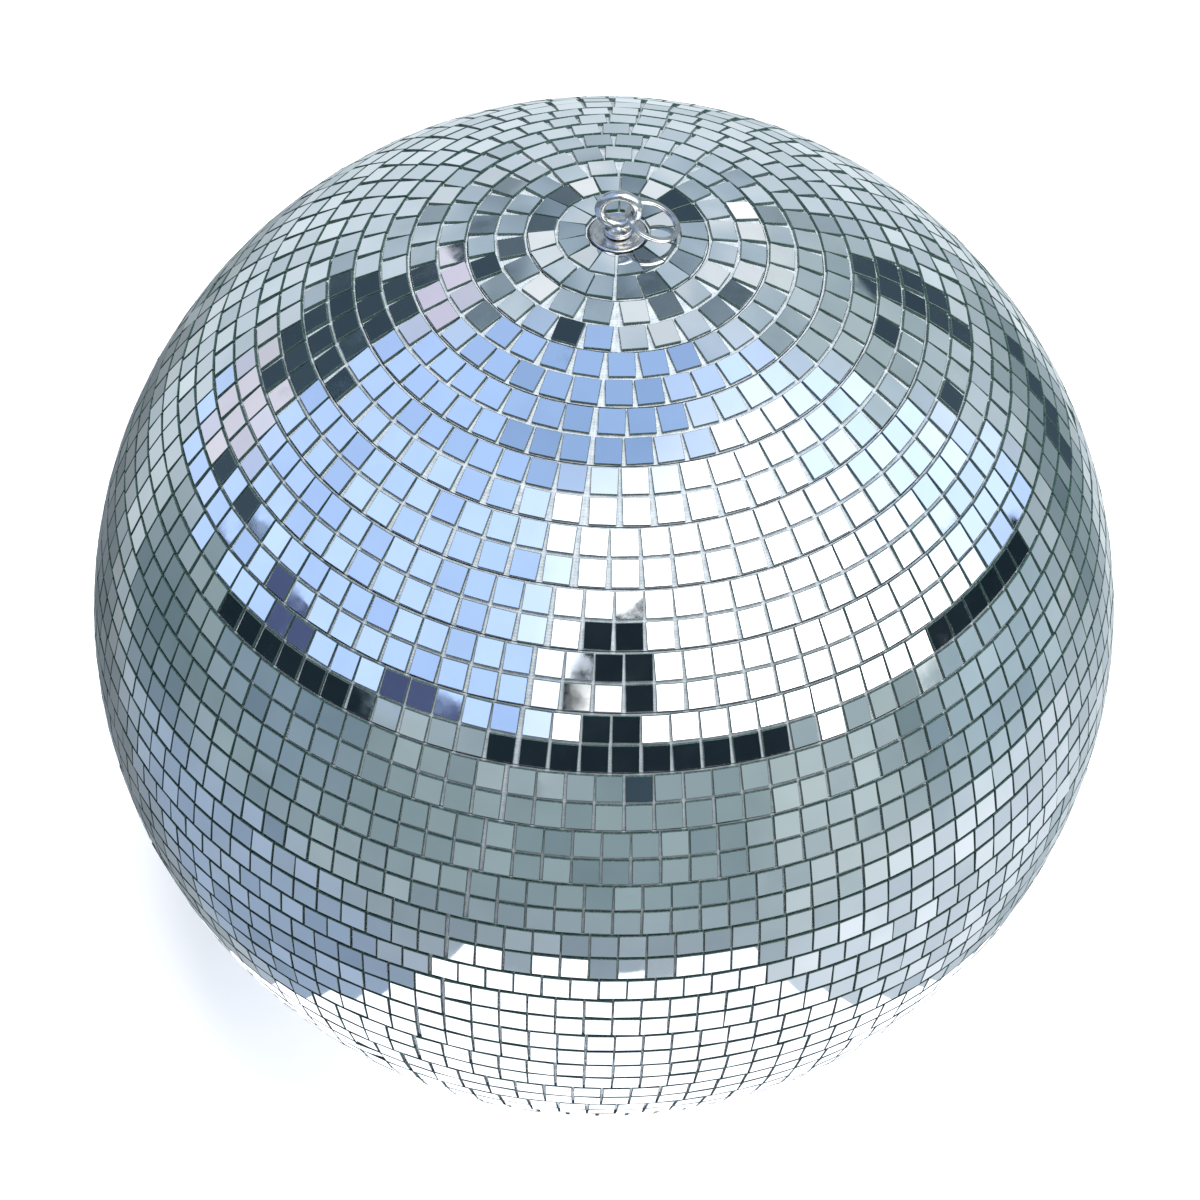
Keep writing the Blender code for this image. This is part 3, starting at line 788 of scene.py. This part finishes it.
def make_cards():
    """What stands round the ball and shows in its tiles, each given by its azimuths and elevations."""
    dark = glow("dark_cloth", "#1e2a32")
    flag = glow("flag_cloth", "#3e4f5b")
    violet = glow("violet_shade", "#545f86")
    white = glow("lamp_glass", "#ffffff", 1.3)
    for azimuths, elevations, lift in (
        ((-24.0, 41.0), (-4.6, 2.2), 14.5),
        ((-88.0, -53.0), (-4.4, 2.0), 14.5),
        ((79.0, 112.0), (1.0, 6.6), 22.6),
    ):
        sky_patch("tent_rail", azimuths, elevations, dark, lift=lift)
    sky_patch("camera_stand", (-5.5, 12.0), (14.0, 44.0), dark)
    sky_patch("stand_lamp", (-3.5, 4.5), (24.0, 30.0), white, distance=LAMP_DISTANCE)
    for name, azimuths, elevations in (
        ("left_flag_foot", (-132.0, -122.0), (14.0, 20.0)),
        ("left_flag", (-138.0, -112.0), (19.0, 33.0)),
        ("left_flag_head", (-143.0, -124.0), (33.0, 41.0)),
        ("left_flag_arm", (-154.0, -147.0), (39.0, 46.0)),
        ("right_flag", (137.0, 145.0), (1.0, 21.0)),
        ("right_flag_arm", (127.0, 134.0), (24.0, 31.0)),
        ("right_leg", (137.0, 144.0), (-22.0, -13.0)),
    ):
        sky_patch(name, azimuths, elevations, flag)
    for azimuths, elevations in (
        ((-160.0, -146.0), (70.0, 77.0)),
        ((166.0, 173.0), (36.0, 42.0)),
        ((-111.0, -105.0), (5.0, 11.0)),
        ((-99.0, -93.0), (6.0, 12.0)),
        ((-15.0, -9.0), (4.0, 10.0)),
        ((2.0, 9.0), (3.5, 9.5)),
        ((96.0, 102.0), (11.0, 17.0)),
        ((117.0, 123.0), (13.0, 19.0)),
    ):
        sky_patch("lamp_back", azimuths, elevations, flag)
    for azimuths, elevations in (
        ((-83.0, -66.0), (8.5, 15.0)),
        ((-50.0, -44.0), (10.0, 18.0)),
        ((-39.0, -29.0), (12.0, 18.5)),
    ):
        sky_patch("violet_gel", azimuths, elevations, violet)
    for azimuths, elevations in (((168.0, 176.0), (55.0, 62.0)), ((157.0, 162.0), (22.0, 27.0))):
        sky_patch("small_lamp", azimuths, elevations, white, distance=LAMP_DISTANCE)


def make_plinth():
    """The top of the white plinth under the ball, narrower than the ball."""
    low = CAD_BOX[0].z
    bpy.ops.mesh.primitive_plane_add(size=1.0, location=(*PLINTH_PLACE, low - PLINTH_DROP))
    top = bpy.context.active_object
    top.name = "plinth_top"
    top.scale = (*PLINTH_SIZE, 1.0)
    top.data.materials.append(glow("plinth_white", "#f1f4fc", 2.0, 6.0))
    only_in_mirrors(top, gives_light=True)


def make_floor():
    """The pale floor, which glows a little so that it stays near white, with a soft shadow at the ball."""
    low = CAD_BOX[0].z
    bpy.ops.mesh.primitive_plane_add(size=FLOOR_SIZE, location=(0.0, 0.0, low - FLOOR_DROP))
    floor = bpy.context.active_object
    floor.name = "floor"
    made, tree, shader, place = new_material("white_acrylic_sheet")
    tone = add(tree, "ShaderNodeTexNoise", {"Vector": place, **features(900.0, 2.0, 0.4)})
    colour = add(tree, "ShaderNodeValToRGB", {"Fac": tone}, [(0.3, "#f1f3f6"), (0.7, "#f5f6f8")])
    fill(tree, shader, {"Base Color": colour, "Roughness": 0.9, "Specular IOR Level": 0.1})
    fill(tree, shader, {"Emission Color": "#fefefe", "Emission Strength": 0.5})
    floor.data.materials.append(made)
    floor.visible_glossy = False
    floor.visible_diffuse = False


def near(tree, way, aim, spread, share=1.0):
    """How near a direction is to an aim: all of the share inside the first angle, none outside the second."""
    inner, outer = [math.cos(math.radians(angle)) for angle in spread]
    dot = add(tree, "ShaderNodeVectorMath", {"operation": "DOT_PRODUCT", 0: way, 1: tuple(aim)})
    fade = {**SOFTLY, "Value": dot.outputs["Value"], **span(outer, inner, 0.0, share)}
    return add(tree, "ShaderNodeMapRange", fade)


def with_patch(tree, way, ground, aim, spread, colour, share=0.9):
    """The ground with a soft round patch of colour on it."""
    factor = near(tree, way, aim, spread, share)
    mix = {**RGBA, FACTOR: factor, FIRST: ground, SECOND: colour}
    return add(tree, "ShaderNodeMix", mix).outputs[MIXED]


def turning(tree, ground, along, low, high, colour):
    """The ground turning into another colour as a coordinate goes from low to high."""
    factor = add(tree, "ShaderNodeMapRange", {**SOFTLY, "Value": along, **span(low, high, 0.0, 1.0)})
    mix = {**RGBA, FACTOR: factor, FIRST: ground, SECOND: colour}
    return add(tree, "ShaderNodeMix", mix).outputs[MIXED]


def room_colours(tree, way, parts, patches):
    """The walls and the floor of the room, with the patches and the clutter that make the tiles differ."""
    height = add(tree, "ShaderNodeMapRange", {"Value": parts["Z"], **span(-1.0, 1.0, 0.0, 1.0)})
    greys = [(0.0, "#b6c1cf"), (0.17, "#a5b1bb"), (0.32, "#96a8ad"), (0.5, "#93a5a8"), (0.62, "#b9c6cc")]
    blues = [(0.05, "#c8d2d7"), (0.3, "#dee8ee"), (0.5, "#d8e3eb"), (0.8, "#c6d4df"), (1.0, "#bacee4")]
    front = add(tree, "ShaderNodeValToRGB", {"Fac": height}, greys)
    back = add(tree, "ShaderNodeValToRGB", {"Fac": height}, blues)
    room = turning(tree, front, parts["Y"], 0.1, 0.75, back)
    for azimuth, elevation, spread, colour, share in (
        (-148.0, -40.0, (5.0, 24.0), "#6b7378", 0.92),
        (-108.0, -23.0, (3.0, 20.0), "#6c7f88", 0.9),
        (-70.0, -2.0, (6.0, 26.0), "#8297a9", 0.8),
        (-85.0, -54.0, (14.0, 34.0), "#9fb1ca", 0.9),
        (50.0, -9.0, (5.0, 22.0), "#c4d1d3", 0.9),
        (50.0, -30.0, (5.0, 22.0), "#c9d5d8", 0.9),
        (88.0, -52.0, (18.0, 36.0), "#e9f1f9", 0.95),
        (137.0, -20.0, (4.0, 22.0), "#6c8186", 0.85),
        (170.0, -42.0, (4.0, 14.0), "#dbe3e7", 0.8),
        (95.0, -10.0, (8.0, 26.0), "#b2c6d0", 0.9),
        (-112.0, 5.0, (4.0, 16.0), "#bccbd9", 0.9),
        (138.0, 30.0, (8.0, 30.0), "#abbcbf", 0.85),
    ):
        room = with_patch(tree, way, room, direction(azimuth, elevation), spread, colour, share)
    shades = add(tree, "ShaderNodeValToRGB", {"Fac": patches}, [(0.34, "#d2d7db"), (0.62, "#ffffff")])
    room = add(tree, "ShaderNodeMix", {**TINT, FIRST: room, SECOND: shades}).outputs[MIXED]
    brighter = {**TINT, FIRST: room, SECOND: brightened("#ffffff", ROOM_BRIGHTNESS)}
    room = add(tree, "ShaderNodeMix", brighter).outputs[MIXED]
    gear = add(tree, "ShaderNodeTexNoise", {"Vector": way, "Scale": 17.0, "Detail": 2.0, "Roughness": 0.5})
    darks = [(0.4, "#4d5d69"), (0.46, "#97aaba"), (0.54, "#c3d4e2"), (0.6, "#f6fafe")]
    clutter = add(tree, "ShaderNodeValToRGB", {"Fac": gear}, darks)
    return with_patch(tree, way, room, direction(180.0, 44.0), (16.0, 40.0), clutter)


def tent_colours(tree, way, parts, patches):
    """The light tent: blue on the left and overhead, white and over-bright on the right."""
    blues = add(tree, "ShaderNodeValToRGB", {"Fac": patches}, [(0.3, "#afcaff"), (0.7, "#c1daff")])
    brighter = {**TINT, FIRST: blues, SECOND: brightened("#ffffff", 1.3)}
    blue = add(tree, "ShaderNodeMix", brighter).outputs[MIXED]
    tent = turning(tree, blue, parts["X"], -0.3, 0.12, brightened("#ffffff", 4.0))
    tent = turning(tree, tent, parts["Y"], -0.1, 0.22, brightened("#b2cbf8", 1.3))
    for azimuth, elevation, spread, colour, strength, share in (
        (114.0, 32.0, (16.0, 42.0), "#c6d8ff", 1.75, 0.95),
        (-95.0, 72.0, (10.0, 27.0), "#a6c3f0", 1.25, 0.85),
    ):
        lit = brightened(colour, strength)
        tent = with_patch(tree, way, tent, direction(azimuth, elevation), spread, lit, share)
    return turning(tree, tent, parts["Z"], 0.88, 0.975, brightened("#9dbbea", 1.1))


def make_world():
    """A plain pale background for the camera, and the studio's walls and light tent for everything else."""
    world = bpy.data.worlds.new("studio")
    bpy.context.scene.world = world
    world.use_nodes = True
    tree = world.node_tree
    tree.nodes.clear()
    way = add(tree, "ShaderNodeTexCoord").outputs["Generated"]
    parts = add(tree, "ShaderNodeSeparateXYZ", {"Vector": way}).outputs
    patches = add(tree, "ShaderNodeTexNoise", {"Vector": way, "Scale": 9.0, "Detail": 4.0, "Roughness": 0.6})
    room = room_colours(tree, way, parts, patches)
    tent = tent_colours(tree, way, parts, patches)
    above = near(tree, way, direction(180.0, 77.5), (89.0, 90.5))
    before = near(tree, way, direction(-4.0, -16.0), (121.0, 127.0))
    inside = add(tree, "ShaderNodeMath", {"operation": "MULTIPLY", 0: above, 1: before})
    mix = {**RGBA, FACTOR: inside, FIRST: room, SECOND: tent}
    studio = add(tree, "ShaderNodeMix", mix).outputs[MIXED]
    studio = with_patch(tree, way, studio, direction(-120.0, 9.0), (7.0, 15.0), "#e6e0ea")
    studio = with_patch(tree, way, studio, direction(-138.0, 41.0), (4.0, 12.0), "#dcd6ee")
    rays = add(tree, "ShaderNodeLightPath").outputs
    mix = {**RGBA, FACTOR: rays["Is Camera Ray"], FIRST: studio, SECOND: "#fefefe"}
    seen = add(tree, "ShaderNodeMix", mix).outputs[MIXED]
    on_matt = span(0.0, 1.0, 1.0, WORLD_ON_MATT_SURFACES)
    strength = add(tree, "ShaderNodeMapRange", {"Value": rays["Is Diffuse Ray"], **on_matt})
    surround = add(tree, "ShaderNodeBackground", {"Color": seen, "Strength": strength})
    add(tree, "ShaderNodeOutputWorld", {"Surface": surround})


def make_key_light():
    """A large soft light overhead, a little towards the camera, for the matt surfaces only."""
    bpy.ops.object.light_add(type="AREA", location=CENTRE + direction(20.0, 80.0) * KEY_DISTANCE)
    key = bpy.context.active_object
    key.name = "key_light"
    key.data.shape = "SQUARE"
    key.data.size = KEY_SIZE
    key.data.energy = KEY_POWER
    key.rotation_euler = (CENTRE - key.location).to_track_quat("-Z", "Y").to_euler()
    key.visible_glossy = False


def make_camera():
    camera = bpy.data.cameras.new("camera")
    camera.lens = CAMERA_LENS
    camera.sensor_width = SENSOR_WIDTH
    camera.shift_x, camera.shift_y = CAMERA_SHIFT
    camera.clip_end = FARTHEST_SEEN
    obj = bpy.data.objects.new("camera", camera)
    bpy.context.scene.collection.objects.link(obj)
    half_picture = SENSOR_WIDTH / 2.0 / CAMERA_LENS
    silhouette = math.atan(BALL_SHARE_OF_PICTURE * half_picture)
    low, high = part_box(f"tile_strip_{EQUATOR_STRIP - 1:02d}")
    radius = (high.x - low.x) / 2.0
    towards_camera = direction(0.0, math.degrees(CAMERA_ELEVATION))
    look = (-towards_camera).to_track_quat("-Z", "Y").to_matrix().to_4x4()
    place = Matrix.Translation(CENTRE + towards_camera * (radius / math.sin(silhouette)))
    obj.matrix_world = place @ look @ Matrix.Rotation(CAMERA_ROLL, 4, "Z")
    bpy.context.scene.camera = obj


def finish_cad_nodes(finishes):
    """Gives the inner parts that keep the frame's shape their real finish."""
    for name, node in frame["nodes"].items():
        slot = next(s["material_slot"] for s in frame["record"]["subparts"] if s["node"] == name)
        for place in node.material_slots:
            place.material = finishes[slot]


def main():
    bpy.context.scene.view_settings.view_transform = "Standard"
    make_camera()
    mirror, edge, scrim = silvered_float_glass(), snapped_glass_edge(), scrim_and_adhesive()
    nickel = nickel_plate()
    finishes = {
        "mirror_glass": mirror,
        "nickel_steel": nickel,
        "zinc_steel": zinc_plate(),
        "core_plastic": moulded_abs(),
        "brass": turned_brass(),
        "nylon": natural_nylon(),
    }
    finish_cad_nodes(finishes)
    make_strips(mirror, edge, scrim)
    make_pole_mirror(mirror, edge)
    make_rosette(nickel)
    make_eye(nickel)
    make_split_ring(nickel)
    make_world()
    make_cards()
    make_plinth()
    make_floor()
    make_key_light()


main()
